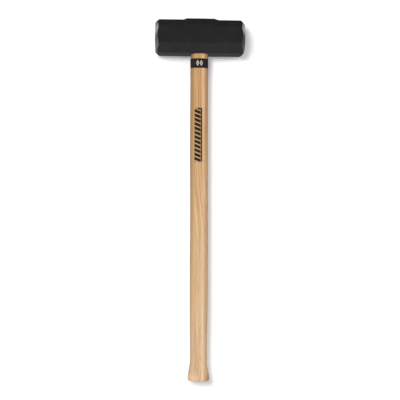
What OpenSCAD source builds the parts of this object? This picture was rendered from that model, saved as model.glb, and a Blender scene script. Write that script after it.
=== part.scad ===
// Double-face sledgehammer: a forged octagonal head wedged onto a long wooden handle.
// The origin is the centre of the head's underside, on the handle's axis.
// +Z runs up the handle and through the head, and +X runs along the head.

/* [Head] */
// Length of the head over its two striking faces
head_len = 220; // [200:1:240]
// Height and width of the octagonal body across its flats
head_across = 81.5; // [78:0.5:88]
// Width of each top, bottom and cheek flat
head_flat = 40.5; // [39:0.5:43]
// Radius of each striking face inside its chamfer
face_r = 36; // [33:0.5:38]
// Height of the crown on each striking face
face_crown = 1; // [0.5:0.5:2]

/* [Eye boss] */
// Rise of the swell around the eye above the top flat
boss_rise = 3.3; // [2:0.1:5]
// Length of the boss along the head at its top
boss_top_len = 66.5; // [60:0.5:75]
// Length of the boss along the head at its foot
boss_foot_len = 86.5; // [80:0.5:100]

/* [Eye] */
// Width of the eye's mouth along the head
mouth_w = 44.4; // [44:0.2:46]
// Depth of the eye's mouth across the head
mouth_d = 37.2; // [35:0.2:37.6]
// Height of the chamfer around the mouth
mouth_chamfer = 4; // [3:0.5:6]
// Width of the eye at its waist, its narrowest point
waist_w = 38; // [36:0.5:40]
// Depth of the eye at its waist
waist_d = 29.2; // [28:0.2:31]
// Width of the eye at its flared top
top_w = 42; // [41:0.5:44]
// Depth of the eye at its flared top
top_d = 33.2; // [32:0.2:34]

/* [Handle] */
// Length of the handle below the head
handle_drop = 799; // [700:1:900]
// How far the tongue stands above the boss
tongue_proud = 0.6; // [0.2:0.1:2]
// Width of the handle below the head, along the head
neck_w = 43.4; // [42:0.2:44]
// Depth of the handle below the head, across the head
neck_d = 34.6; // [33:0.2:35]
// Width of the handle at its fullest, above the grip
belly_w = 43.8; // [42:0.2:46]
// Depth of the handle at its fullest
belly_d = 35; // [33:0.2:37]
// Width of the grip above the knob
grip_w = 41.4; // [39:0.2:43]
// Depth of the grip above the knob
grip_d = 32; // [30:0.2:34]
// Width of the knob at the handle's end
knob_w = 52.8; // [48:0.2:56]
// Depth of the knob at the handle's end
knob_d = 40.6; // [37:0.2:44]

/* [Wedges] */
// Depth of the wooden wedge, from the top of the tongue
wood_wedge_depth = 54; // [40:1:62]
// Thickness of the wooden wedge at its top
wood_wedge_t = 9; // [6:0.5:11]
// Width of the saw cut that the wooden wedge is driven into
kerf_t = 2.4; // [1.6:0.2:3]
// Depth of each steel wedge, from the top of the tongue
steel_wedge_depth = 27; // [20:1:32]
// Thickness of each steel wedge at its top
steel_wedge_t = 4.6; // [3:0.2:6]
// Width of each steel wedge across the tongue
steel_wedge_w = 25; // [20:1:27]
// Distance of each steel wedge from the handle's axis
steel_wedge_x = 10.5; // [8:0.5:13]

/* [Weight band] */
// Gap between the head's underside and the band
band_gap = 11.2; // [9:0.1:16]
// Height of the band
band_h = 24.1; // [15:0.1:26]
// Thickness of the band's film
band_t = 0.3; // [0.2:0.1:0.6]

/* [Hidden] */

// Facets: sides of a turned form and of the handle's oval
turned_fn = 96;
oval_sides = 48;
// Rings of each face's crown, of which the middle one is flat
crown_steps = 5;
// Power of the handle's oval section: 2 is an ellipse, and more is squarer
oval_power = 2.25;
// Extra length by which a cutting form passes the surface that it cuts
pass = 2;
// Thickness of the thin slabs that the boss is drawn between
slab = 0.01;

// Head
half_across = head_across / 2;
half_flat = head_flat / 2;
bevel_leg = half_across - half_flat;
boss_top = head_across + boss_rise;
turned_r = norm([half_across + boss_rise, half_flat]) + pass;

// Heights along the handle
tongue_top = boss_top + tongue_proud;
shoulder_z = -3;
neck_past_band = 4;
neck_head = -(band_gap - neck_past_band);
neck_foot = -(band_gap + band_h + neck_past_band);
belly_share = 0.765;
belly_z = -handle_drop * belly_share;
grip_share = 0.915;
grip_head = -handle_drop * grip_share;
knob_round = 3.5;
knob_z = -handle_drop + knob_round;
flare_h = 45;
grip_foot = knob_z + flare_h;

// Handle stations: height, half width along X and half depth along Y
seat_in = 1.4;
shoulder_in = 0.5;
seat = [mouth_chamfer, mouth_w / 2 - seat_in, mouth_d / 2 - seat_in];
mouth = [0, mouth_w / 2, mouth_d / 2];
waist = [head_across / 2, waist_w / 2, waist_d / 2];
top = [tongue_top, top_w / 2, top_d / 2];
shoulder = [shoulder_z, mouth_w / 2 - shoulder_in, mouth_d / 2 - shoulder_in];
neck_a = [neck_head, neck_w / 2, neck_d / 2];
neck_b = [neck_foot, neck_w / 2, neck_d / 2];
belly = [belly_z, belly_w / 2, belly_d / 2];
grip_a = [grip_head, grip_w / 2, grip_d / 2];
grip_b = [grip_foot, grip_w / 2, grip_d / 2];
knob = [knob_z, knob_w / 2, knob_d / 2];
ease_steps = 6;
round_steps = 5;

// Wedges
wood_tip_z = tongue_top - wood_wedge_depth;
kerf_past_wedge = 10;
kerf_foot = wood_tip_z - kerf_past_wedge;
steel_tip_z = tongue_top - steel_wedge_depth;
steel_tip_t = 0.8;
barbs = 3;
barb_h = 0.35;

// A point's coordinate on the oval, from its cosine or sine
function on_oval(half, c) = half * sign(c) * pow(abs(c), 2 / oval_power);

// The oval section of one station
function oval(s) = [
    for (i = [0 : oval_sides - 1])
        let (t = 360 * i / oval_sides)
        [on_oval(s[1], cos(t)), on_oval(s[2], sin(t)), s[0]]
];

// A smooth step from 0 to 1
function ease(t) = t * t * (3 - 2 * t);

// The station at the fraction t of the way from a to b
function between(a, b, t) = [
    a[0] + (b[0] - a[0]) * t,
    a[1] + (b[1] - a[1]) * ease(t),
    a[2] + (b[2] - a[2]) * ease(t)
];

// Stations from a towards b, without b itself
function run(a, b) = [for (i = [0 : ease_steps - 1]) between(a, b, i / ease_steps)];

// Stations around the knob's rounded end, from its flat end up to its widest section
function knob_end() = [
    for (i = [0 : round_steps - 1])
        let (t = 90 * i / round_steps)
        [
            knob[0] - knob_round * cos(t),
            knob[1] - knob_round * (1 - sin(t)),
            knob[2] - knob_round * (1 - sin(t))
        ]
];

// The triangles of one band of a loft, between ring k and the ring above it
function loft_band(k) = [
    for (i = [0 : oval_sides - 1])
        let (j = (i + 1) % oval_sides, low = k * oval_sides, high = low + oval_sides)
        each [[low + i, high + i, high + j], [low + i, high + j, low + j]]
];

// A closed solid through oval stations, given from the lowest to the highest
module loft(stations) {
    last = (len(stations) - 1) * oval_sides;
    foot = [for (i = [0 : oval_sides - 1]) i];
    lid = [for (i = [oval_sides - 1 : -1 : 0]) last + i];
    bands = [for (k = [0 : len(stations) - 2]) each loft_band(k)];
    polyhedron([for (s = stations) each oval(s)], concat([foot], bands, [lid]));
}

// Stands an outline drawn in Y and Z up and extrudes it along X
module along_x(length) {
    rotate([90, 0, 90]) linear_extrude(length, center = true) children();
}

// Stands an outline drawn in X and Z up and extrudes it along Y
module along_y(length) {
    rotate([90, 0, 0]) linear_extrude(length, center = true) children();
}

// The octagonal body's section, in Y and Z
module body_outline() {
    polygon([
        [-half_flat, 0],
        [half_flat, 0],
        [half_across, bevel_leg],
        [half_across, head_across - bevel_leg],
        [half_flat, head_across],
        [-half_flat, head_across],
        [-half_across, head_across - bevel_leg],
        [-half_across, bevel_leg]
    ]);
}

// The section's upper half, raised by the boss's rise at this place
module raised_outline(rise) {
    polygon([
        [-half_across, half_across],
        [half_across, half_across],
        [half_across, head_across - bevel_leg + rise],
        [half_flat, head_across + rise],
        [-half_flat, head_across + rise],
        [-half_across, head_across - bevel_leg + rise]
    ]);
}

// The swell around the eye, with a sloping shoulder at each end
module eye_boss() {
    hull() {
        along_x(boss_top_len) raised_outline(boss_rise);
        along_x(boss_foot_len) raised_outline(slab);
    }
}

// One end of the turned form, from its axis out over the crown to the chamfer's foot
function end_profile() = concat(
    [[0, head_len / 2]],
    [
        for (i = [1 : crown_steps])
            let (t = i / crown_steps, drop = (i - 1) / (crown_steps - 1))
            [face_r * t, head_len / 2 - face_crown * drop * drop]
    ],
    [[turned_r, head_len / 2 - face_crown - (turned_r - face_r)]]
);

// The turned form that gives the head its crowned faces and conical chamfers
module end_form() {
    right = end_profile();
    left = [for (i = [len(right) - 1 : -1 : 0]) [right[i][0], -right[i][1]]];
    translate([0, 0, half_across]) rotate([0, 90, 0])
        rotate_extrude($fn = turned_fn) polygon(concat(right, left));
}

// The space inside the eye: a chamfered mouth, a waist and a flared top
module eye_space() {
    loft([seat, waist, top]);
    loft([2 * mouth - seat, seat]);
}

// The wooden wedge's taper, along the whole eye
module wood_wedge_form() {
    along_x(mouth_w + pass) polygon([
        [-kerf_t / 2, wood_tip_z],
        [kerf_t / 2, wood_tip_z],
        [wood_wedge_t / 2, tongue_top],
        [wood_wedge_t / 2, tongue_top + pass],
        [-wood_wedge_t / 2, tongue_top + pass],
        [-wood_wedge_t / 2, tongue_top]
    ]);
}

// Half the thickness of a steel wedge at the fraction t of the way up from its tip
function steel_half(t) = (steel_tip_t + (steel_wedge_t - steel_tip_t) * t) / 2;

// One barbed flank of a steel wedge, from its tip to its top
function steel_flank(side) = [
    for (k = [0 : barbs - 1], up = [0, 1])
        let (t = (k + up) / barbs, barb = up * (k < barbs - 1 ? barb_h : 0))
        [side * (steel_half(t) + barb), steel_tip_z + steel_wedge_depth * t]
];

// A steel wedge across the tongue, whose barbs keep it from backing out
module steel_wedge_form(side) {
    right = steel_flank(1);
    left = steel_flank(-1);
    translate([side * steel_wedge_x, 0, 0]) along_y(steel_wedge_w) polygon(
        concat(right, [for (i = [len(left) - 1 : -1 : 0]) left[i]])
    );
}

module head() {
    color([0.15, 0.15, 0.16]) difference() {
        intersection() {
            union() {
                along_x(head_len + pass) body_outline();
                eye_boss();
            }
            end_form();
        }
        eye_space();
    }
}

module handle() {
    stations = concat(
        knob_end(),
        run(knob, grip_b),
        [grip_b],
        run(grip_a, belly),
        run(belly, neck_b),
        [neck_b, neck_a, shoulder, seat, waist, top]
    );
    color([0.8, 0.63, 0.43]) difference() {
        loft(stations);
        translate([0, 0, (kerf_foot + tongue_top) / 2])
            cube([mouth_w + pass, kerf_t, tongue_top - kerf_foot + pass], center = true);
        wood_wedge_form();
        steel_wedge_form(-1);
        steel_wedge_form(1);
    }
}

module wooden_wedge() {
    color([0.72, 0.55, 0.36]) difference() {
        intersection() {
            wood_wedge_form();
            loft([seat, waist, top]);
        }
        steel_wedge_form(-1);
        steel_wedge_form(1);
    }
}

module steel_wedge(side) {
    color([0.55, 0.56, 0.58]) steel_wedge_form(side);
}

// A film wrapped around the straight part of the neck
module weight_band() {
    foot = -(band_gap + band_h);
    color([0.12, 0.11, 0.1]) difference() {
        loft([for (z = [foot, -band_gap]) [z, neck_w / 2 + band_t, neck_d / 2 + band_t]]);
        loft([for (z = [foot - pass, -band_gap + pass]) [z, neck_w / 2, neck_d / 2]]);
    }
}

head();
handle();
wooden_wedge();
steel_wedge(-1);  // steel_wedge_left
steel_wedge(1);  // steel_wedge_right
weight_band();
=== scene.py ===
import math

import bmesh
import bpy
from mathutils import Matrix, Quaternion, Vector, noise


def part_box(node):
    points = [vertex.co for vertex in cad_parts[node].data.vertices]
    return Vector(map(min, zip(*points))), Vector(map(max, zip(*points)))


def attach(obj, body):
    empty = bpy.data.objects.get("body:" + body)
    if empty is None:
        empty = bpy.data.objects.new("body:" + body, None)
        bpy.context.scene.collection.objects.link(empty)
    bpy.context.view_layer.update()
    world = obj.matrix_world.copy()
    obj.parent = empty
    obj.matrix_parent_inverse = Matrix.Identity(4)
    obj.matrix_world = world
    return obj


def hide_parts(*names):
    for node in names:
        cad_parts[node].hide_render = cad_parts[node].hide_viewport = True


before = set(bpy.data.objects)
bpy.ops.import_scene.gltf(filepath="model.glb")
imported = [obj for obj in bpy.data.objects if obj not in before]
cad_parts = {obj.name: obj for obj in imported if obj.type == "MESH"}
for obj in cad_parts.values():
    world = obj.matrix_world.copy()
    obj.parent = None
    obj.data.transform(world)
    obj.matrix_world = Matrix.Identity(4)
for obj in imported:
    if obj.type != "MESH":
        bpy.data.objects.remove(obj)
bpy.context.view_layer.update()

MM = 0.001

# ---------------------------------------------------------------- sizes, from the frame

HEAD_LOW, HEAD_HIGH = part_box("head")
HANDLE_LOW, HANDLE_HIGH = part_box("handle")
BAND_LOW, BAND_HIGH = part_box("weight_band")

# The head: an octagon across, with a boss above the eye and a swell below it
HEAD_LEN = HEAD_HIGH.x - HEAD_LOW.x
ACROSS = HEAD_HIGH.y - HEAD_LOW.y
HALF_ACROSS = ACROSS / 2
HALF_FLAT = 20.25 * MM
BOSS_RISE = HEAD_HIGH.z - HEAD_LOW.z - ACROSS
BOSS_TOP_HALF = 32.5 * MM
BOSS_FOOT_HALF = 44 * MM
BOSS_SHIFT = 1.5 * MM
LOWER_SWELL = 1.2 * MM
SWELL_SQUEEZE = 0.92
# Its faces and edges
FACE_R = 36 * MM
FACE_CROWN = 1 * MM
RIM_X = HEAD_LEN / 2 - FACE_CROWN
RIM_ROUND = 0.5 * MM
FACET_BLEND = 0.9 * MM
CHAMFER_BLEND = 0.9 * MM
# Mesh sides per flat and per bevel, and the layer that says where its edges wear
FLAT_SIDES, BEVEL_SIDES = 36, 28
EDGE_WEAR = "edge_wear"

# The handle below the head. Half sizes are (along X, along Y), and shares are of its drop
TONGUE_TOP = HANDLE_HIGH.z
KNOB_END = HANDLE_LOW.z
KNOB_HALF = ((HANDLE_HIGH.x - HANDLE_LOW.x) / 2, (HANDLE_HIGH.y - HANDLE_LOW.y) / 2)
KNOB_ROUND = 3.5 * MM
KNOB_Z = KNOB_END + KNOB_ROUND
FLARE_H = 45 * MM
GRIP_FOOT_Z = KNOB_Z + FLARE_H
GRIP_SHARE, BELLY_SHARE = 0.915, 0.765
GRIP_HEAD_Z = KNOB_END * GRIP_SHARE
BELLY_Z = KNOB_END * BELLY_SHARE
GRIP_HALF = (20.7 * MM, 16 * MM)
BELLY_HALF = (21.9 * MM, 17.5 * MM)
NECK_HALF = (21.7 * MM, 17.3 * MM)
NECK_PAST_BAND = 4 * MM
NECK_LOW_Z = BAND_LOW.z - NECK_PAST_BAND
NECK_HIGH_Z = BAND_HIGH.z + NECK_PAST_BAND
LEAN = 1 * MM
# Its section: a power of 2 is an ellipse, and more is squarer
OVAL_POWER = 2.25
OVAL_SIDES = 96

# The eye: its mouth, waist and flared top, with a thin gap around the tongue
MOUTH_HALF = (22.2 * MM, 18.6 * MM)
SHOULDER_Z = -3 * MM
SHOULDER_IN = 0.5 * MM
SEAT_IN = 1.4 * MM
SEAT_Z = 4 * MM
WAIST_HALF = (19 * MM, 14.6 * MM)
TOP_HALF = (21 * MM, 16.6 * MM)
TOP_RIM_OUT = 0.9 * MM
EYE_GAP = 0.12 * MM

# The wedges
WOOD_WEDGE_LOW, WOOD_WEDGE_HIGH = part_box("wooden_wedge")
WOOD_WEDGE_TOP_HALF = (WOOD_WEDGE_HIGH.y - WOOD_WEDGE_LOW.y) / 2
WOOD_WEDGE_TIP_HALF = 1.2 * MM
STEEL_WEDGES = ("steel_wedge_left", "steel_wedge_right")
STEEL_TIP_HALF = 0.4 * MM


# ---------------------------------------------------------------- mesh helpers

def smoothstep(low, high, value):
    """0 at low and beyond, 1 at high and beyond, and an S-shaped rise between them."""
    t = min(max((value - low) / (high - low), 0), 1)
    return t * t * (3 - 2 * t)


def smooth_min(a, b, width):
    """The lower of a and b, with the corner between them rounded over width."""
    h = max(width - abs(a - b), 0) / width
    return min(a, b) - h * h * width / 4


def mix(a, b, t):
    """a where t is 0, b where t is 1."""
    return a + (b - a) * t


def steps(start, stop, count):
    """count evenly spaced values from start towards stop, without stop itself."""
    return [mix(start, stop, i / count) for i in range(count)]


def oval_point(half, turn):
    """A point on a rounded oval with these half sizes along X and Y."""
    c, s = math.cos(turn), math.sin(turn)
    x = half[0] * math.copysign(abs(c) ** (2 / OVAL_POWER), c)
    y = half[1] * math.copysign(abs(s) ** (2 / OVAL_POWER), s)
    return x, y


def grown(half, extra):
    """Both half sizes, larger by extra."""
    return half[0] + extra, half[1] + extra


def place_object(name, data):
    """A new object for a mesh, light or camera, linked into the scene."""
    obj = bpy.data.objects.new(name, data)
    bpy.context.collection.objects.link(obj)
    return obj


def mesh_object(name, bm, material):
    """Makes a mesh object of bm, with one material."""
    mesh = bpy.data.meshes.new(name)
    bm.to_mesh(mesh)
    bm.free()
    mesh.materials.append(material)
    return place_object(name, mesh)


def add_object(name, bm, material, sharp_angle=35):
    """Makes a closed mesh object of bm, smooth except at edges sharper than sharp_angle."""
    bmesh.ops.recalc_face_normals(bm, faces=bm.faces)
    obj = mesh_object(name, bm, material)
    shade(obj, sharp_angle)
    return obj


def shade(obj, sharp_angle):
    """Smooths obj's shading, except at edges sharper than sharp_angle in degrees."""
    mesh = obj.data
    for face in mesh.polygons:
        face.use_smooth = True
    mesh.set_sharp_from_angle(angle=math.radians(sharp_angle))


def bridge_rings(bm, rings):
    """Quads between each ring of vertices and the next."""
    for low, high in zip(rings, rings[1:]):
        count = len(low)
        for i in range(count):
            j = (i + 1) % count
            bm.faces.new((low[i], low[j], high[j], high[i]))


def close_ring(bm, ring, middle):
    """Triangles from a ring of vertices to one point in its middle."""
    tip = bm.verts.new(middle)
    count = len(ring)
    for i in range(count):
        bm.faces.new((ring[i], ring[(i + 1) % count], tip))


def loft(stations, shape=None):
    """A closed mesh through oval stations (z, half along X, half along Y). shape moves each
    of its points."""
    bm = bmesh.new()
    rings = []
    for z, *half in stations:
        ring = []
        for turn in steps(0, math.tau, OVAL_SIDES):
            x, y = oval_point(half, turn)
            point = Vector((x, y, z))
            ring.append(bm.verts.new(shape(point) if shape else point))
        rings.append(ring)
    bridge_rings(bm, rings)
    close_ring(bm, rings[0], Vector((0, 0, stations[0][0])))
    close_ring(bm, rings[-1], Vector((0, 0, stations[-1][0])))
    return bm


def boolean(obj, cutter, operation):
    """Cuts obj with cutter, or keeps what both fill, and removes the cutter."""
    cut = obj.modifiers.new("cut", "BOOLEAN")
    cut.operation = operation
    cut.solver = "EXACT"
    cut.object = cutter
    graph = bpy.context.evaluated_depsgraph_get()
    mesh = bpy.data.meshes.new_from_object(obj.evaluated_get(graph))
    obj.modifiers.remove(cut)
    old = obj.data
    obj.data = mesh
    bpy.data.meshes.remove(old)
    bpy.data.objects.remove(cutter)


def prism(outline, axis, length):
    """A closed prism: an outline of (across, z) points, extruded by length about the
    middle along axis, which is "x" or "y"."""
    bm = bmesh.new()
    ends = []
    for side in (-1, 1):
        along = side * length / 2
        if axis == "x":
            ring = [bm.verts.new((along, across, z)) for across, z in outline]
        else:
            ring = [bm.verts.new((across, along, z)) for across, z in outline]
        ends.append(ring)
        bm.faces.new(ring)
    bridge_rings(bm, ends)
    return bm


# ---------------------------------------------------------------- node helpers

class Graph:
    """Short calls for building the nodes of one tree."""

    def __init__(self, tree, place):
        self.tree = tree
        self.place = tree.nodes.new("ShaderNodeTexCoord").outputs[place]

    def link(self, value, socket):
        """Links a socket, or sets a plain value."""
        if isinstance(value, bpy.types.NodeSocket):
            self.tree.links.new(value, socket)
        else:
            socket.default_value = value

    def math(self, operation, *values):
        """One step of arithmetic on sockets and plain numbers."""
        node = self.tree.nodes.new("ShaderNodeMath")
        node.operation = operation
        for value, socket in zip(values, node.inputs):
            self.link(value, socket)
        return node.outputs[0]

    def plus(self, a, b):
        return self.math("ADD", a, b)

    def minus(self, a, b):
        return self.math("SUBTRACT", a, b)

    def times(self, a, b):
        return self.math("MULTIPLY", a, b)

    def length(self, a, b):
        """The length of the two sides' diagonal."""
        return self.math("SQRT", self.plus(self.math("POWER", a, 2.0), self.math("POWER", b, 2.0)))

    def swing(self, value, size):
        """A noise made into a length that swings to both sides of 0."""
        return self.times(self.minus(value, 0.5), size)

    def axes(self, vector=None):
        node = self.tree.nodes.new("ShaderNodeSeparateXYZ")
        self.link(vector or self.place, node.inputs[0])
        return node.outputs[0], node.outputs[1], node.outputs[2]

    def vector(self, x, y, z):
        node = self.tree.nodes.new("ShaderNodeCombineXYZ")
        for value, socket in zip((x, y, z), node.inputs):
            self.link(value, socket)
        return node.outputs[0]

    def scaled(self, x, y, z, vector=None):
        """The place on the object, or another vector, scaled along each axis."""
        node = self.tree.nodes.new("ShaderNodeVectorMath")
        node.operation = "MULTIPLY"
        self.link(vector or self.place, node.inputs[0])
        node.inputs[1].default_value = (x, y, z)
        return node.outputs[0]

    def noise(self, vector, detail=3.0, roughness=0.5):
        """Noise with one feature to a unit of vector."""
        node = self.tree.nodes.new("ShaderNodeTexNoise")
        self.link(vector, node.inputs["Vector"])
        node.inputs["Scale"].default_value = 1.0
        node.inputs["Detail"].default_value = detail
        node.inputs["Roughness"].default_value = roughness
        return node.outputs[0]

    def remap(self, value, low, high, to_low=0.0, to_high=1.0, smooth=False):
        """to_low where value is low, to_high where it is high, and no further beyond."""
        node = self.tree.nodes.new("ShaderNodeMapRange")
        node.interpolation_type = "SMOOTHSTEP" if smooth else "LINEAR"
        node.clamp = True
        for item, socket in zip((value, low, high, to_low, to_high), node.inputs):
            self.link(item, socket)
        return node.outputs[0]

    def ramp(self, value, *stops):
        """A colour ramp through stops of (place, (r, g, b))."""
        node = self.tree.nodes.new("ShaderNodeValToRGB")
        elements = node.color_ramp.elements
        while len(elements) < len(stops):
            elements.new(1.0)
        for element, (place, colour) in zip(elements, stops):
            element.position = place
            element.color = (*colour, 1)
        self.link(value, node.inputs[0])
        return node.outputs[0]

    def blend(self, amount, first, second, kind="MIX"):
        """first and second mixed by amount. Each is a socket or an (r, g, b) colour."""
        node = self.tree.nodes.new("ShaderNodeMix")
        node.data_type = "RGBA"
        node.blend_type = kind
        node.clamp_factor = True
        self.link(amount, node.inputs["Factor"])
        for value, socket in ((first, node.inputs[6]), (second, node.inputs[7])):
            if isinstance(value, tuple):
                value = (*value, 1)
            self.link(value, socket)
        return node.outputs[2]

    def bump(self, height, distance, strength, after=None):
        """A normal bent by height, on top of an earlier one."""
        node = self.tree.nodes.new("ShaderNodeBump")
        node.inputs["Strength"].default_value = strength
        node.inputs["Distance"].default_value = distance
        self.link(height, node.inputs["Height"])
        if after:
            self.link(after, node.inputs["Normal"])
        return node.outputs[0]


class Look(Graph):
    """A new material's nodes, around its one shader."""

    def __init__(self, name):
        self.material = bpy.data.materials.new(name)
        self.material.use_nodes = True
        super().__init__(self.material.node_tree, "Object")
        self.shader = self.tree.nodes["Principled BSDF"]

    def set(self, **values):
        """Sets the shader's own sockets: base_color, roughness, normal and so on."""
        for name, value in values.items():
            socket = self.shader.inputs[name.replace("_", " ").title().replace("Ior", "IOR")]
            if isinstance(value, tuple) and len(value) == 3:
                value = (*value, 1)
            self.link(value, socket)
        return self.material


# ---------------------------------------------------------------- wood

# Colours in linear light, as (r, g, b). A ramp's stops have their place before them
WOOD_TONES = (
    (0.37, (0.415, 0.22, 0.08)),
    (0.495, (0.54, 0.32, 0.127)),
    (0.60, (0.64, 0.408, 0.184)),
    (0.745, (0.755, 0.528, 0.275)),
)
EARLY_WOOD = (0.36, 0.175, 0.068)
SAPWOOD_AND_LIGHT = (0.82, 0.59, 0.375)
HEARTWOOD_AND_SHADE = (0.38, 0.22, 0.07)
WARMTH_AND_SHADE = (0.85, 0.775, 0.71)
PALENESS_AND_LIGHT = (0.19, 0.137, 0.124)
PORE = (0.30, 0.165, 0.075)
FLECK = (0.38, 0.20, 0.085)
HAND_SOIL = (0.34, 0.22, 0.13)
KNOB_RIGHT_DARK = (0.40, 0.19, 0.07)
KNOB_LEFT_PALE = (0.84, 0.64, 0.45)
INK = (0.012, 0.009, 0.007)


def wood_rings(g, grain, pith, spacing, wander):
    """Growth rings around a pith beside the piece, so that sides show long streaks and
    ends show arcs. Gives 0 at the start of each ring and 1 at its end."""
    x, y, z = g.axes(grain)
    drift = g.swing(g.noise(g.scaled(14, 14, 3.2, grain), detail=2), wander)
    dx = g.plus(g.minus(x, pith[0]), drift)
    dy = g.plus(g.minus(y, pith[1]), drift)
    return g.math("FRACT", g.math("DIVIDE", g.length(dx, dy), spacing))


def early_wood(g, grain, ring):
    """The dark start of each ring, where the pores crowd together, broken up along it."""
    early = g.times(g.remap(ring, 0.0, 0.05), g.remap(ring, 0.12, 0.36, 1.0, 0.0, smooth=True))
    broken = g.noise(g.scaled(300, 300, 16, grain), detail=2, roughness=0.6)
    return g.times(early, g.remap(broken, 0.36, 0.6))


def with_sap_heart_light_and_shade(g, colour, across, z):
    """Adds a paler streak along the front, right of the middle: partly sapwood, partly painted
    light. Adds browner wood along both edges, which fades towards the grip: heartwood, and on the
    left edge also painted shade."""
    # Painted light: a paler streak right of the middle of the front, over sapwood
    sap_and_light = g.times(
        g.remap(across, 4.5 * MM, 7 * MM, smooth=True),
        g.remap(across, 10.5 * MM, 13 * MM, 1.0, 0.0, smooth=True),
    )
    sap_and_light_high = g.remap(z, -100 * MM, -280 * MM, 0.62, 0.22, smooth=True)
    sap_and_light_low = g.remap(z, -500 * MM, -680 * MM, 0.0, 0.3, smooth=True)
    colour = g.blend(g.times(sap_and_light, g.plus(sap_and_light_high, sap_and_light_low)), colour, SAPWOOD_AND_LIGHT)
    # Painted shade: the left edge is made darker as if in shade, over browner heartwood along both
    # edges
    left = g.times(
        g.remap(across, -10.5 * MM, -18 * MM, smooth=True),
        g.remap(z, -500 * MM, -700 * MM, 0.85, 0.35),
    )
    right = g.times(
        g.remap(across, 12 * MM, 14.5 * MM, smooth=True),
        g.remap(z, -130 * MM, -270 * MM, 0.45, 0.2),
    )
    return g.blend(g.math("MAXIMUM", left, right), colour, HEARTWOOD_AND_SHADE)


def with_soil_and_knob_sides(g, colour, across, z):
    """Hands darken the grip a little. The knob's rim is made darker on the right and paler on the
    left."""
    soil = g.noise(g.scaled(26, 26, 9), detail=4, roughness=0.65)
    soil = g.times(g.remap(soil, 0.55, 0.8), g.remap(z, -450 * MM, -750 * MM))
    colour = g.blend(g.times(soil, 0.12), colour, HAND_SOIL)
    rim = g.remap(z, KNOB_END + 26 * MM, KNOB_END + 8 * MM, smooth=True)
    darker_right = g.times(rim, g.remap(across, 12 * MM, 21 * MM, smooth=True))
    colour = g.blend(g.times(darker_right, 0.6), colour, KNOB_RIGHT_DARK)
    paler_patch = g.times(rim, g.remap(across, 1 * MM, -9 * MM, smooth=True))
    return g.blend(g.times(paler_patch, 0.4), colour, KNOB_LEFT_PALE)


def print_mask(g, x, z):
    """Slanted bars beside one long line, down the handle."""
    top, bottom = -133 * MM, -264.5 * MM
    left, right = -12.6 * MM, 2.1 * MM
    line_left, line_right = 2.7 * MM, 5.9 * MM
    pitch, slant, fill = 10.6 * MM, 0.42, 0.73
    soft, soft_share = 0.18 * MM, 0.03

    def inside(value, low, high):
        over = g.remap(value, low - soft, low + soft)
        under = g.remap(value, high - soft, high + soft, 1.0, 0.0)
        return g.times(over, under)

    bar = g.math("FRACT", g.math("DIVIDE", g.plus(z, g.times(x, slant)), pitch))
    bar = g.times(g.remap(bar, 0.0, soft_share), g.remap(bar, fill, fill + soft_share, 1.0, 0.0))
    bars = g.times(bar, inside(x, left, right))
    line = inside(x, line_left, line_right)
    return g.times(inside(z, bottom, top), g.math("MAXIMUM", bars, line))


def hickory():
    """Lacquered hickory: growth rings drawn out into streaks, pores, sapwood and heartwood with
    painted light and shade along them, and black ink on the front."""
    g = Look("hickory")
    x, y, z = g.axes()
    # Below the print the grain drifts to the right, and the rings show as slanted lines
    drift = g.remap(z, -250 * MM, -470 * MM, 0.0, -15 * MM, smooth=True)
    grain = g.vector(g.plus(x, drift), y, z)
    ring = wood_rings(g, grain, (-64 * MM, 41 * MM), 4.4 * MM, 9 * MM)
    streaks = g.noise(g.scaled(150, 150, 1.4, grain), detail=4, roughness=0.62)
    lines = g.noise(g.scaled(430, 430, 7, grain), roughness=0.6)
    fine = g.noise(g.scaled(900, 900, 14, grain), roughness=0.6)
    tone = g.plus(g.times(streaks, 0.38), g.times(lines, 0.52))
    colour = g.ramp(g.plus(tone, g.times(fine, 0.2)), *WOOD_TONES)
    # Rings and flecks are a little fainter over the lower half
    upper = g.remap(z, -620 * MM, -300 * MM, 0.8, 1.0, smooth=True)
    early = g.times(early_wood(g, grain, ring), upper)
    colour = g.blend(g.times(early, 0.42), colour, EARLY_WOOD)
    broad = g.noise(g.scaled(30, 30, 2.2), detail=2)
    across = g.plus(x, g.swing(broad, 7 * MM))
    colour = with_sap_heart_light_and_shade(g, colour, across, z)
    # The wood is warmer and darker near the head and paler towards the knob: partly its own tone,
    # partly painted shade near the head and painted light towards the knob
    colour = g.blend(g.remap(z, -160 * MM, -460 * MM, 1.0, 0.05), colour, WARMTH_AND_SHADE, "MULTIPLY")
    colour = g.blend(g.remap(z, -180 * MM, -620 * MM, 0.27, 1.0), colour, PALENESS_AND_LIGHT, "SCREEN")
    # Pores: short dark dashes along the grain, and dots where the grain ends
    pores = g.noise(g.scaled(1500, 1500, 26, grain), detail=2, roughness=0.7)
    pores = g.times(g.remap(pores, 0.57, 0.66), g.remap(ring, 0.55, 0.1, 0.3, 1.0))
    colour = g.blend(g.times(pores, 0.5), colour, PORE)
    flecks = g.noise(g.scaled(420, 420, 40, grain), detail=2, roughness=0.6)
    flecks = g.times(g.remap(flecks, 0.6, 0.7), upper)
    colour = g.blend(g.times(flecks, 0.45), colour, FLECK)
    colour = with_soil_and_knob_sides(g, colour, across, z)
    # Ink on the front only, speckled by the pores under it
    speckle = g.noise(g.scaled(1400, 1400, 160), detail=2, roughness=0.7)
    ink = g.times(print_mask(g, x, z), g.math("LESS_THAN", y, 0.0))
    ink = g.times(ink, g.remap(speckle, 0.3, 0.4, 0.85, 1.0))
    colour = g.blend(g.times(ink, 0.98), colour, INK)
    roughness = g.plus(g.remap(fine, 0.25, 0.8, 0.36, 0.52), g.times(ink, 0.1))
    relief = g.minus(g.times(streaks, 0.6), g.times(pores, 0.55))
    relief = g.minus(relief, g.times(early, 0.3))
    normal = g.bump(relief, 0.12 * MM, 0.55)
    normal = g.bump(fine, 0.05 * MM, 0.4, after=normal)
    return g.set(
        base_color=colour, roughness=roughness, normal=normal,
        specular_ior_level=0.32, coat_weight=0.18, coat_roughness=0.3,
    )


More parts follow.
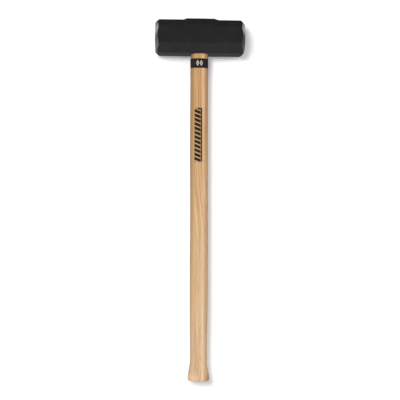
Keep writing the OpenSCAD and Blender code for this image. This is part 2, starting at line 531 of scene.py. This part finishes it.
def wedge_wood():
    """Dry, sawn wood."""
    g = Look("wedge_wood")
    streaks = g.noise(g.scaled(260, 260, 9), detail=4, roughness=0.65)
    fine = g.noise(g.scaled(1300, 1300, 60))
    tone = g.plus(g.times(streaks, 0.7), g.times(fine, 0.3))
    colour = g.ramp(
        tone,
        (0.33, (0.22, 0.115, 0.05)),
        (0.52, (0.40, 0.235, 0.115)),
        (0.68, (0.54, 0.345, 0.185)),
    )
    return g.set(
        base_color=colour, roughness=g.remap(fine, 0.3, 0.7, 0.55, 0.75),
        normal=g.bump(tone, 0.2 * MM, 0.6), specular_ior_level=0.3,
    )


# ---------------------------------------------------------------- steel, paint and film

STEEL_STAIN = (0.24, 0.215, 0.185)
STEEL_BRIGHT = (0.62, 0.62, 0.61)
RUBBED_PAINT = (0.06, 0.058, 0.056)
WEDGE_RUST = (0.17, 0.125, 0.09)
BAND_INK = (0.56, 0.50, 0.43)


def ground_steel(g, radius, angle):
    """Colour, roughness and marks of steel ground in rings around an axis."""
    marks = g.noise(g.vector(g.times(radius, 2600.0), angle, 0.0), roughness=0.7)
    stain = g.noise(g.scaled(70, 70, 70), detail=4, roughness=0.6)
    mottle = g.noise(g.scaled(420, 420, 420))
    colour = g.ramp(
        marks,
        (0.30, (0.21, 0.207, 0.20)),
        (0.52, (0.32, 0.316, 0.306)),
        (0.72, (0.45, 0.445, 0.432)),
    )
    colour = g.blend(g.remap(stain, 0.48, 0.72, 0.0, 0.55), colour, STEEL_STAIN)
    colour = g.blend(g.remap(mottle, 0.6, 0.75, 0.0, 0.3), colour, STEEL_BRIGHT)
    rough = g.plus(g.remap(marks, 0.3, 0.7, 0.3, 0.42), g.remap(stain, 0.5, 0.75, 0.0, 0.16))
    return colour, rough, marks


def bare_mask(g, x, up, radius):
    """1 where the head is ground bare: its faces, and the chamfers up to the paint."""
    from_rim = g.minus(RIM_X, g.math("ABSOLUTE", x))
    wobble = g.swing(g.noise(g.scaled(160, 160, 160), roughness=0.6), 1.6 * MM)
    # Depth under the cone of the chamfer: 0 on the ground cone, more on the painted flats
    depth = g.minus(g.plus(from_rim, FACE_R), radius)
    cone = g.remap(g.plus(depth, g.times(wobble, 0.5)), 0.35 * MM, 0.6 * MM, 1.0, 0.0)
    # Above and below, paint laps over the outer part of the chamfer
    high = g.math("ABSOLUTE", up)
    lap = g.remap(high, 26 * MM, 33 * MM, 7.6 * MM, 4.6 * MM, smooth=True)
    lapped = g.minus(g.plus(from_rim, wobble), lap)
    bare = g.times(cone, g.remap(lapped, -0.15 * MM, 0.15 * MM, 1.0, 0.0))
    bare = g.math("MAXIMUM", bare, g.remap(from_rim, 0.2 * MM, 0.05 * MM))
    # Small chips along the paint's edge
    chips = g.noise(g.scaled(330, 330, 330), roughness=0.7)
    near = g.times(
        g.remap(depth, 1 * MM, 5.5 * MM, 1.0, 0.0),
        g.remap(from_rim, 14 * MM, 9 * MM),
    )
    chips = g.times(g.remap(chips, 0.66, 0.69), near)
    return g.math("MAXIMUM", bare, g.times(chips, 0.85))


def black_paint(g):
    """Colour, roughness and relief of paint over the forging's scale: fine texture, faint
    dust, and a little rubbing on the facets' edges."""
    skin = g.noise(g.scaled(1100, 1100, 1100), roughness=0.6)
    cloud = g.noise(g.scaled(24, 24, 24), detail=4, roughness=0.55)
    scale = g.noise(g.scaled(150, 150, 150), detail=4, roughness=0.6)
    colour = g.ramp(
        g.plus(g.times(cloud, 0.7), g.times(skin, 0.3)),
        (0.35, (0.0118, 0.0118, 0.0118)),
        (0.65, (0.0172, 0.0172, 0.0180)),
    )
    edges = g.tree.nodes.new("ShaderNodeAttribute")
    edges.attribute_name = EDGE_WEAR
    paler_patch = g.times(edges.outputs["Fac"], g.remap(scale, 0.5, 0.68))
    colour = g.blend(g.times(paler_patch, 0.35), colour, RUBBED_PAINT)
    rough = g.minus(g.remap(skin, 0.3, 0.7, 0.42, 0.55), g.times(paler_patch, 0.1))
    relief = g.plus(g.times(scale, 0.8), g.times(skin, 0.2))
    return colour, rough, relief


def painted_head():
    """Semi-matte black paint over the forging, ground bare over the chamfers and faces."""
    g = Look("head_finish")
    x, y, z = g.axes()
    up = g.minus(z, HALF_ACROSS)
    radius = g.length(y, up)
    bare = bare_mask(g, x, up, radius)
    covered = g.minus(1.0, bare)
    steel, steel_rough, marks = ground_steel(g, radius, g.math("ARCTAN2", up, y))
    paint, paint_rough, paint_relief = black_paint(g)
    normal = g.bump(covered, 0.12 * MM, 0.7)
    normal = g.bump(g.times(paint_relief, covered), 0.22 * MM, 0.5, after=normal)
    normal = g.bump(g.times(marks, bare), 0.03 * MM, 0.5, after=normal)
    return g.set(
        base_color=g.blend(bare, paint, steel), metallic=bare,
        roughness=g.plus(g.times(steel_rough, bare), g.times(paint_rough, covered)),
        normal=normal, specular_ior_level=0.3,
    )


def wedge_steel():
    """Stamped steel with drawn lines and some rust."""
    g = Look("wedge_steel")
    lines = g.noise(g.scaled(1500, 90, 60), roughness=0.7)
    stain = g.noise(g.scaled(240, 240, 240), detail=4, roughness=0.6)
    colour = g.ramp(
        lines,
        (0.3, (0.26, 0.255, 0.25)),
        (0.7, (0.50, 0.495, 0.485)),
    )
    colour = g.blend(g.remap(stain, 0.5, 0.7, 0.0, 0.6), colour, WEDGE_RUST)
    return g.set(
        base_color=colour, metallic=0.55, roughness=g.remap(stain, 0.3, 0.7, 0.34, 0.6),
        normal=g.bump(lines, 0.06 * MM, 0.6),
    )


def diamonds_mask(g, x, z):
    """Two hollow diamonds side by side, at the height of the band's middle."""
    middle_z = (BAND_LOW.z + BAND_HIGH.z) / 2
    centre_x, apart = -1.2 * MM, 4.4 * MM
    half_w, half_h = 3.9 * MM, 7.6 * MM
    hollow, full, soft = 0.36, 0.96, 0.06
    diamonds = []
    for side in (-1, 1):
        across = g.math("ABSOLUTE", g.minus(x, centre_x + side * apart))
        tall = g.math("ABSOLUTE", g.minus(z, middle_z))
        size = g.plus(g.math("DIVIDE", across, half_w), g.math("DIVIDE", tall, half_h))
        outer = g.remap(size, full, full + soft, 1.0, 0.0)
        diamonds.append(g.times(outer, g.remap(size, hollow, hollow + soft)))
    return g.math("MAXIMUM", *diamonds)


def band_film():
    """Satin black film with two pale hollow diamonds in front."""
    g = Look("band_film")
    x, y, z = g.axes()
    skin = g.noise(g.scaled(700, 700, 700))
    cloud = g.noise(g.scaled(60, 60, 25))
    worn = g.noise(g.scaled(520, 520, 90), roughness=0.7)
    film = g.ramp(cloud, (0.35, (0.012, 0.0095, 0.008)), (0.65, (0.021, 0.017, 0.014)))
    mark = g.times(diamonds_mask(g, x, z), g.math("LESS_THAN", y, 0.0))
    mark = g.times(mark, g.remap(worn, 0.3, 0.42, 0.8, 1.0))
    return g.set(
        base_color=g.blend(mark, film, BAND_INK), roughness=g.remap(skin, 0.3, 0.7, 0.34, 0.46),
        normal=g.bump(skin, 0.05 * MM, 0.4), specular_ior_level=0.35,
    )


# ---------------------------------------------------------------- white of the stage

def stage_white(name, white, glow):
    """A plain white surface for the floor and the sheet behind the hammer. It glows a little
    more far out to the sides, where less of the key's light falls."""
    g = Look(name)
    from_middle = g.math("ABSOLUTE", g.axes()[0])
    glow = g.remap(from_middle, 0.25, 0.5, glow, glow + 0.1, smooth=True)
    paper = g.noise(g.scaled(60, 60, 60), detail=4)
    dull, bright = white - 0.01, white + 0.01
    colour = g.ramp(paper, (0.3, (dull, dull, dull)), (0.7, (bright, bright, bright)))
    return g.set(
        base_color=colour, roughness=0.9, specular_ior_level=0.1,
        emission_color=(1.0, 1.0, 1.0), emission_strength=glow,
    )


def one_sided(material):
    """Lets everything through from behind, so that the sheet only shows in front."""
    tree = material.node_tree
    clear = tree.nodes.new("ShaderNodeBsdfTransparent")
    side = tree.nodes.new("ShaderNodeNewGeometry").outputs["Backfacing"]
    both = tree.nodes.new("ShaderNodeMixShader")
    tree.links.new(side, both.inputs[0])
    tree.links.new(tree.nodes["Principled BSDF"].outputs[0], both.inputs[1])
    tree.links.new(clear.outputs[0], both.inputs[2])
    tree.links.new(both.outputs[0], tree.nodes["Material Output"].inputs["Surface"])
    return material


# ---------------------------------------------------------------- the head

def shoulder(x):
    """1 over the eye boss and 0 beyond its shoulders. The forging has it a little to the
    right of the middle."""
    return 1 - smoothstep(BOSS_TOP_HALF, BOSS_FOOT_HALF, abs(x - BOSS_SHIFT))


def ring_turns(x):
    """Angles from +Y towards +Z, closest together at the edges between the facets."""
    rise = shoulder(x) * BOSS_RISE
    corners = [math.atan2(z, y) for y, z in (
        (HALF_ACROSS, -HALF_FLAT), (HALF_ACROSS, HALF_FLAT + rise),
        (HALF_FLAT, HALF_ACROSS + rise), (-HALF_FLAT, HALF_ACROSS + rise),
        (-HALF_ACROSS, HALF_FLAT + rise), (-HALF_ACROSS, -HALF_FLAT),
        (-HALF_FLAT, -HALF_ACROSS), (HALF_FLAT, -HALF_ACROSS),
    )]
    turns = []
    for k, (start, stop) in enumerate(zip(corners, corners[1:] + corners[:1])):
        while stop < start:
            stop += math.tau
        for t in steps(0, math.pi, FLAT_SIDES if k % 2 == 0 else BEVEL_SIDES):
            turns.append(mix(start, stop, 0.5 - 0.5 * math.cos(t)))
    return turns


def head_radius(x, turn):
    """Distance from the head's long axis to its surface, at x and an angle from +Y
    towards +Z, and how near the place is to an edge between two facets."""
    rise = shoulder(x) * BOSS_RISE
    swell = shoulder(x * SWELL_SQUEEZE) * LOWER_SWELL
    bevel = (HALF_ACROSS + HALF_FLAT) / math.sqrt(2)
    sharp, worn_width = 0.2 * MM, 1.3 * MM
    facing_away = 0.3
    reaches = []
    for k in range(8):
        facing = math.pi / 4 * k
        toward = math.cos(turn - facing)
        if toward < facing_away:
            continue
        reach = HALF_ACROSS if k % 2 == 0 else bevel
        if 0 < k < 4:
            reach += rise * math.sin(facing)
        if k in (5, 7):
            reach += swell
        reaches.append(reach / toward)
    surface = reaches[0]
    for reach in reaches[1:]:
        surface = smooth_min(surface, reach, FACET_BLEND)
    cone = FACE_R + RIM_X - abs(x)
    nearest, second = sorted(sorted(reaches)[:2] + [cone])[:2]
    edge = 1 - smoothstep(sharp, worn_width, second - nearest)
    return smooth_min(surface, cone, CHAMFER_BLEND), edge


def head_stations():
    """Places along the head's length, closest together on the chamfers and shoulders."""
    on_boss, past_boss, chamfer = 30 * MM, 47 * MM, 97 * MM
    end = RIM_X - RIM_ROUND
    half = steps(0, on_boss, 12) + steps(on_boss, past_boss, 20)
    half += steps(past_boss, chamfer, 20) + steps(chamfer, end, 26) + [end]
    return [-x for x in reversed(half[1:])] + half


def forged(point):
    """How far a forged and trimmed surface lies outside its even shape."""
    wave = noise.noise(point * 38) * 0.16 * MM
    dent = noise.noise(point * 170 + Vector((5, 2, 9))) * 0.045 * MM
    return wave + dent


def head_ring(bm, x, wear):
    """Vertices around the head at x. The forging's unevenness fades towards the ground rim and
    over the boss, and leaves out the flats above and below."""
    rim_fade, boss_fade = 9 * MM, 0.8
    ring = []
    for turn in ring_turns(x):
        r, edge = head_radius(x, turn)
        out = Vector((0, math.cos(turn), math.sin(turn)))
        point = Vector((x, 0, HALF_ACROSS)) + out * r
        fade = smoothstep(0, rim_fade, RIM_X - abs(x)) * (1 - shoulder(x) * boss_fade)
        if min(abs(point.z), abs(point.z - ACROSS)) > 0.5 * MM:
            point += out * forged(point) * fade
        vert = bm.verts.new(point)
        vert[wear] = edge
        ring.append(vert)
    return ring


def face_rings(bm, side, wear):
    """The rounded rim and the crowned, slightly worn striking face at one end of the head."""
    wear_depth, wear_fade = 0.06 * MM, 4 * MM
    foot = Vector((RIM_X - RIM_ROUND, FACE_R + RIM_ROUND))
    corner = Vector((RIM_X, FACE_R))
    inner = Vector((RIM_X + 0.03 * MM, FACE_R - RIM_ROUND * 1.4))
    profile = []
    for t in (0.25, 0.5, 0.75):
        profile.append(foot * (1 - t) ** 2 + corner * 2 * t * (1 - t) + inner * t ** 2)
    for t in steps(inner.y / FACE_R, 0.05, 14):
        profile.append(Vector((RIM_X + FACE_CROWN * (1 - t * t), FACE_R * t)))
    rings = []
    for x, r in profile:
        ring = []
        for turn in ring_turns(RIM_X):
            point = Vector((side * x, r * math.cos(turn), HALF_ACROSS + r * math.sin(turn)))
            worn = noise.noise(point * 60) * wear_depth * smoothstep(0, wear_fade, FACE_R - r)
            point.x -= side * abs(worn)
            vert = bm.verts.new(point)
            vert[wear] = 0
            ring.append(vert)
        rings.append(ring)
    return rings


def eye_stations(grow=0.0):
    """The eye from below its mouth to above its flared top, grown by grow all round."""
    boss_top = HEAD_HIGH.z
    rim_half, rim_depth, past = grown(TOP_HALF, TOP_RIM_OUT), 1.2 * MM, 2 * MM
    stations = (
        (-SEAT_Z, grown(MOUTH_HALF, SEAT_IN)),
        (0, MOUTH_HALF),
        (SEAT_Z, grown(MOUTH_HALF, -SEAT_IN)),
        (ACROSS / 2, WAIST_HALF),
        (boss_top - rim_depth, TOP_HALF),
        (boss_top, rim_half),
        (boss_top + past, rim_half),
    )
    return [(z, *grown(half, grow)) for z, half in stations]


def tongue_stations():
    """The stretch of the eye that the tongue fills, from its seat to the flare."""
    return eye_stations(-EYE_GAP)[2:5]


def make_head():
    """Rings of vertices from face to face, with the eye cut through them."""
    bm = bmesh.new()
    wear = bm.verts.layers.float.new(EDGE_WEAR)
    rings = [head_ring(bm, x, wear) for x in head_stations()]
    left = face_rings(bm, -1, wear)
    right = face_rings(bm, 1, wear)
    rings = left[::-1] + rings + right
    bridge_rings(bm, rings)
    close_ring(bm, rings[0], Vector((HEAD_LOW.x, 0, HALF_ACROSS)))
    close_ring(bm, rings[-1], Vector((HEAD_HIGH.x, 0, HALF_ACROSS)))
    head = add_object("forged_head", bm, painted_head())
    cutter = add_object("eye_cutter", loft(eye_stations()), head.data.materials[0])
    boolean(head, cutter, "DIFFERENCE")
    shade(head, 32)
    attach(head, "root")
    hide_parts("head")


# ---------------------------------------------------------------- the handle

def handle_half(z):
    """The handle's half sizes along X and Y at a height below the head."""
    def between(a, b, t):
        return mix(a[0], b[0], t), mix(a[1], b[1], t)

    if z < KNOB_Z:
        drop = min((KNOB_Z - z) / KNOB_ROUND, 1)
        inset = KNOB_ROUND * (1 - math.sqrt(1 - drop * drop))
        return KNOB_HALF[0] - inset, KNOB_HALF[1] - inset
    if z < GRIP_FOOT_Z:
        return between(KNOB_HALF, GRIP_HALF, smoothstep(KNOB_Z, GRIP_FOOT_Z, z))
    if z < BELLY_Z:
        return between(GRIP_HALF, BELLY_HALF, smoothstep(GRIP_HEAD_Z, BELLY_Z, z))
    return between(BELLY_HALF, NECK_HALF, smoothstep(BELLY_Z, NECK_LOW_Z, z))


def handle_stations():
    """Stations from the middle of the knob's end to the middle of the tongue's top."""
    stations = []
    for lift in steps(0, math.pi / 2, 12):
        z = KNOB_Z - KNOB_ROUND * math.cos(lift)
        stations.append((z, *handle_half(z)))
    heights = steps(KNOB_Z, GRIP_FOOT_Z, 24) + steps(GRIP_FOOT_Z, NECK_HIGH_Z, 150)
    stations += [(z, *handle_half(z)) for z in heights + [NECK_HIGH_Z]]
    # The neck meets the mouth, then the tongue follows the eye up to its flared top
    mouth_in = grown(MOUTH_HALF, -SHOULDER_IN)
    for t in (0.35, 0.7, 1.0):
        half = [mix(a, b, t * t) for a, b in zip(NECK_HALF, mouth_in)]
        stations.append((mix(NECK_HIGH_Z, SHOULDER_Z, t), *half))
    stations += tongue_stations()
    rim = 0.5 * MM
    stations.append((TONGUE_TOP - rim, *TOP_HALF))
    stations.append((TONGUE_TOP - rim * 0.3, *grown(TOP_HALF, -rim * 0.3)))
    stations.append((TONGUE_TOP, *grown(TOP_HALF, -rim)))
    for t in (0.75, 0.5, 0.25):
        stations.append((TONGUE_TOP, TOP_HALF[0] * t, TOP_HALF[1] * t))
    end_half = stations[0][1:]
    inner = [(KNOB_END, end_half[0] * t, end_half[1] * t) for t in (0.25, 0.5, 0.75)]
    return inner + stations


def sway(z):
    """How far the upper handle leans from the eye's axis, along X."""
    return -LEAN * smoothstep(0, -15 * MM, z) * smoothstep(-460 * MM, -170 * MM, z)


def hand_shaped(point):
    """The slight lean of a wooden handle, and the waviness that shaping leaves along it."""
    neck_fade, knob_fade, depth = 30 * MM, 20 * MM, 0.35 * MM
    fade = smoothstep(NECK_LOW_Z, NECK_LOW_Z - neck_fade, point.z)
    fade *= smoothstep(KNOB_END, KNOB_END + knob_fade, point.z)
    out = Vector((point.x, point.y, 0)).normalized()
    slow = noise.noise(Vector((out.x * 1.2, out.y * 1.2, point.z * 7))) * depth
    return point + out * slow * fade + Vector((sway(point.z), 0, 0))


def steel_wedge_bm(node, grow=0.0):
    """A barbed steel wedge where the frame has it, grown by grow on each side."""
    low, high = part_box(node)
    middle_x = (low.x + high.x) / 2
    top_half = (high.x - low.x) / 2 + grow
    tip_half = STEEL_TIP_HALF + grow
    barbs, barb = 3, 0.35 * MM
    flank = []
    for k in range(barbs):
        for up in (0, 1):
            t = (k + up) / barbs
            out = barb if up and k < barbs - 1 else 0
            flank.append((mix(tip_half, top_half, t) + out, mix(low.z, high.z, t)))
    outline = [(middle_x + a, z) for a, z in flank]
    outline += [(middle_x - a, z) for a, z in reversed(flank)]
    return prism(outline, "y", high.y - low.y + 2 * grow)


def wood_wedge_bm(grow, over):
    """The wooden wedge's taper, past both ends of the eye, and on by over above its top."""
    top_half, tip_half = WOOD_WEDGE_TOP_HALF + grow, WOOD_WEDGE_TIP_HALF + grow
    low_z, high_z = WOOD_WEDGE_LOW.z - grow, WOOD_WEDGE_HIGH.z
    outline = [(-tip_half, low_z), (tip_half, low_z), (top_half, high_z)]
    outline += [(top_half, high_z + over), (-top_half, high_z + over), (-top_half, high_z)]
    return prism(outline, "x", 3 * MOUTH_HALF[0])


def cut_for_steel(obj, lift):
    """Cuts the steel wedges' seats out of a wooden piece. lift takes each cut past its top."""
    gap, wood = 0.1 * MM, obj.data.materials[0]
    for node in STEEL_WEDGES:
        cutter = add_object("wedge_cutter", steel_wedge_bm(node, gap), wood)
        cutter.location.z += lift
        bpy.context.view_layer.update()
        boolean(obj, cutter, "DIFFERENCE")


def soften(obj, width, segments):
    """Rounds a piece's sharp edges."""
    rounding = obj.modifiers.new("soft_edges", "BEVEL")
    rounding.width = width
    rounding.segments = segments
    rounding.limit_method = "ANGLE"
    rounding.angle_limit = math.radians(30)


def make_handle():
    """The whole handle, with seats for the wedges cut into its tongue."""
    gap, past_top = 0.08 * MM, 3 * MM
    wood = hickory()
    handle = add_object("hickory_handle", loft(handle_stations(), hand_shaped), wood)
    cutter = add_object("wedge_cutter", wood_wedge_bm(gap, past_top), wood)
    boolean(handle, cutter, "DIFFERENCE")
    cut_for_steel(handle, 0.05 * MM)
    shade(handle, 35)
    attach(handle, "root")
    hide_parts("handle")


def make_wooden_wedge():
    """A wedge that fills the eye from side to side and stands a little above the tongue."""
    stand, past_top = 0.15 * MM, 0.6 * MM
    wood = wedge_wood()
    wedge = add_object("wooden_wedge_driven", wood_wedge_bm(0.0, past_top), wood)
    eye = tongue_stations()
    eye.append((TONGUE_TOP + stand, *grown(TOP_HALF, -EYE_GAP)))
    boolean(wedge, add_object("eye_core", loft(eye), wood), "INTERSECT")
    cut_for_steel(wedge, 0.3 * MM)
    shade(wedge, 30)
    soften(wedge, 0.15 * MM, 2)
    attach(wedge, "root")
    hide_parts("wooden_wedge")


def make_steel_wedges():
    """Both steel wedges, where the frame has them."""
    steel = wedge_steel()
    for node in STEEL_WEDGES:
        wedge = add_object("driven_" + node, steel_wedge_bm(node), steel, 30)
        soften(wedge, 0.35 * MM, 3)
        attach(wedge, "root")
        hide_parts(node)


# ---------------------------------------------------------------- the weight band

def make_band():
    """A film around the neck: outside, rolled edges, inside, and a lapped seam behind."""
    sides = 128
    lift, inside = 0.3 * MM, 0.03 * MM
    seam, seam_width, seam_lift = math.radians(96), math.radians(26), 0.22 * MM
    edge, slip = 0.18 * MM, 0.9 * MM
    low, high = BAND_LOW.z, BAND_HIGH.z
    profile = [(low, inside), (low, lift - edge), (low + edge * 0.4, lift - edge * 0.3)]
    profile += [(z, lift) for z in steps(low + edge, high - edge, 14)]
    profile += [(high - edge, lift), (high - edge * 0.4, lift - edge * 0.3)]
    profile += [(high, lift - edge), (high, inside)]
    profile += [(z, inside) for z in steps(high, low, 6)[1:]]
    bm = bmesh.new()
    rings = []
    for z, out in profile:
        ring = []
        for turn in steps(0, math.tau, sides):
            lapped = out > inside and 0 < turn - seam < seam_width
            x, y = oval_point(grown(NECK_HALF, out + seam_lift if lapped else out), turn)
            # Shrunk onto the wood, the film's edges sit a little lower in front
            front = max(-math.sin(turn), 0) ** 1.5
            up = (z - low) / (high - low)
            place_z = z + slip * mix(1 - front, -front, up)
            ring.append(bm.verts.new((x + sway(place_z), y, place_z)))
        rings.append(ring)
    bridge_rings(bm, rings + rings[:1])
    band = add_object("weight_band_film", bm, band_film(), 40)
    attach(band, "root")
    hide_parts("weight_band")


# ---------------------------------------------------------------- stage, light and camera

def stage_sheet(name, corners, material):
    """A stage piece that the camera sees, and that neither shades nor lights the hammer."""
    bm = bmesh.new()
    bm.faces.new([bm.verts.new(corner) for corner in corners])
    obj = mesh_object(name, bm, material)
    obj.visible_shadow = False
    obj.visible_diffuse = False
    obj.visible_glossy = False


def make_stage():
    """A pale floor well below the hammer, and a white sheet just behind it, in metres."""
    reach, floor_z = 6.0, KNOB_END - 0.11
    floor = [(x * reach, y * reach, floor_z) for x, y in ((-1, -1), (1, -1), (1, 1), (-1, 1))]
    stage_sheet("floor", floor, stage_white("floor_white", 0.9, 0.45))
    half, top, back_y = 2.2, 1.4, HEAD_HIGH.y + 2 * MM
    back = [(x * half, back_y, z) for x, z in ((-1, floor_z), (1, floor_z), (1, top), (-1, top))]
    stage_sheet("back_sheet", back, one_sided(stage_white("sheet_white", 0.83, 0.214)))


def place_light(light, name, power, toward):
    """Puts a lamp in the scene, facing toward, with no mirrored glare on the hammer."""
    light.energy = power
    obj = place_object(name, light)
    obj.visible_glossy = False
    obj.rotation_mode = "QUATERNION"
    obj.rotation_quaternion = toward.to_track_quat("-Z", "Y")
    return obj


def sun(name, strength, from_left, above, softness, behind=False):
    """A broad, soft lamp, from the left of the front or of the back, in degrees."""
    light = bpy.data.lights.new(name, "SUN")
    light.angle = math.radians(softness)
    side, high = math.radians(from_left), math.radians(above)
    level = math.cos(high)
    forward = math.cos(side) * level * (-1 if behind else 1)
    toward = Vector((math.sin(side) * level, forward, -math.sin(high)))
    place_light(light, name, strength, toward)


def soft_box(name, power, place, aim, radius):
    """A round soft box at a place, turned towards aim."""
    light = bpy.data.lights.new(name, "AREA")
    light.shape = "DISK"
    light.size = 2 * radius
    obj = place_light(light, name, power, aim - place)
    obj.location = place


def make_world():
    """White to the camera. It lights the hammer as a studio does: soft boxes high at both
    sides, a dim ceiling, and a pale surface below."""
    world = bpy.data.worlds.new("studio")
    bpy.context.scene.world = world
    world.use_nodes = True
    world.node_tree.nodes.clear()
    g = Graph(world.node_tree, "Generated")
    x, y, z = g.axes()
    level = g.remap(z, -1.0, 0.3, 0.66, 0.05, smooth=True)
    level = g.times(level, g.remap(x, 0.3, 0.8, 1.0, 0.7, smooth=True))
    high = g.times(
        g.remap(z, 0.28, 0.34, smooth=True),
        g.remap(z, 0.5, 0.75, 1.0, 0.0, smooth=True),
    )
    beside = g.remap(g.math("ABSOLUTE", x), 0.45, 0.6, smooth=True)
    wall = g.remap(x, 0.3, 0.8, 0.16, 0.06, smooth=True)
    boxes = g.times(beside, g.plus(g.times(high, 1.35), wall))
    level = g.plus(level, boxes)
    seen, lit = (g.tree.nodes.new("ShaderNodeBackground") for _ in range(2))
    seen.inputs["Color"].default_value = (1, 1, 1, 1)
    lit.inputs["Color"].default_value = (0.98, 0.975, 1, 1)
    g.link(level, lit.inputs["Strength"])
    both = g.tree.nodes.new("ShaderNodeMixShader")
    g.link(g.tree.nodes.new("ShaderNodeLightPath").outputs["Is Camera Ray"], both.inputs[0])
    g.link(lit.outputs[0], both.inputs[1])
    g.link(seen.outputs[0], both.inputs[2])
    g.link(both.outputs[0], g.tree.nodes.new("ShaderNodeOutputWorld").inputs["Surface"])


def make_light():
    """A key light in front on the left, aimed low so that the knob is lit nearly as brightly
    as the head, with weak fills from the right and from behind."""
    distance, left_share = 2.2, 0.27
    place = Vector((-distance * left_share, -distance, 0.1))
    soft_box("key", 43.5, place, Vector((0, 0, -1.1)), 0.33)
    sun("fill", 0.45, -42, 6, 50)
    sun("back_fill", 1.4, 25, 35, 60, behind=True)
    sun("right_fill", 0.45, -100, 20, 50)
    make_world()
    bpy.context.scene.view_settings.view_transform = "Standard"
    bpy.context.scene.view_settings.look = "None"


def make_camera():
    """Level with the middle of the handle, a little to the left, and rolled slightly."""
    distance, azimuth, elevation, roll = 1.75, -2.86, -0.63, 0.254
    aim = Vector((2.35 * MM, 0, -357.4 * MM))
    a, e = math.radians(azimuth), math.radians(elevation)
    back = Vector((math.sin(a) * math.cos(e), -math.cos(a) * math.cos(e), math.sin(e)))
    data = bpy.data.cameras.new("camera")
    data.sensor_width = 36
    data.lens = 64.1
    camera = place_object("camera", data)
    camera.location = aim + back * distance
    camera.rotation_mode = "QUATERNION"
    turn = (-back).to_track_quat("-Z", "Y")
    camera.rotation_quaternion = turn @ Quaternion((0, 0, 1), math.radians(roll))
    bpy.context.scene.camera = camera


make_camera()
make_light()
make_stage()
make_head()
make_handle()
make_wooden_wedge()
make_steel_wedges()
make_band()
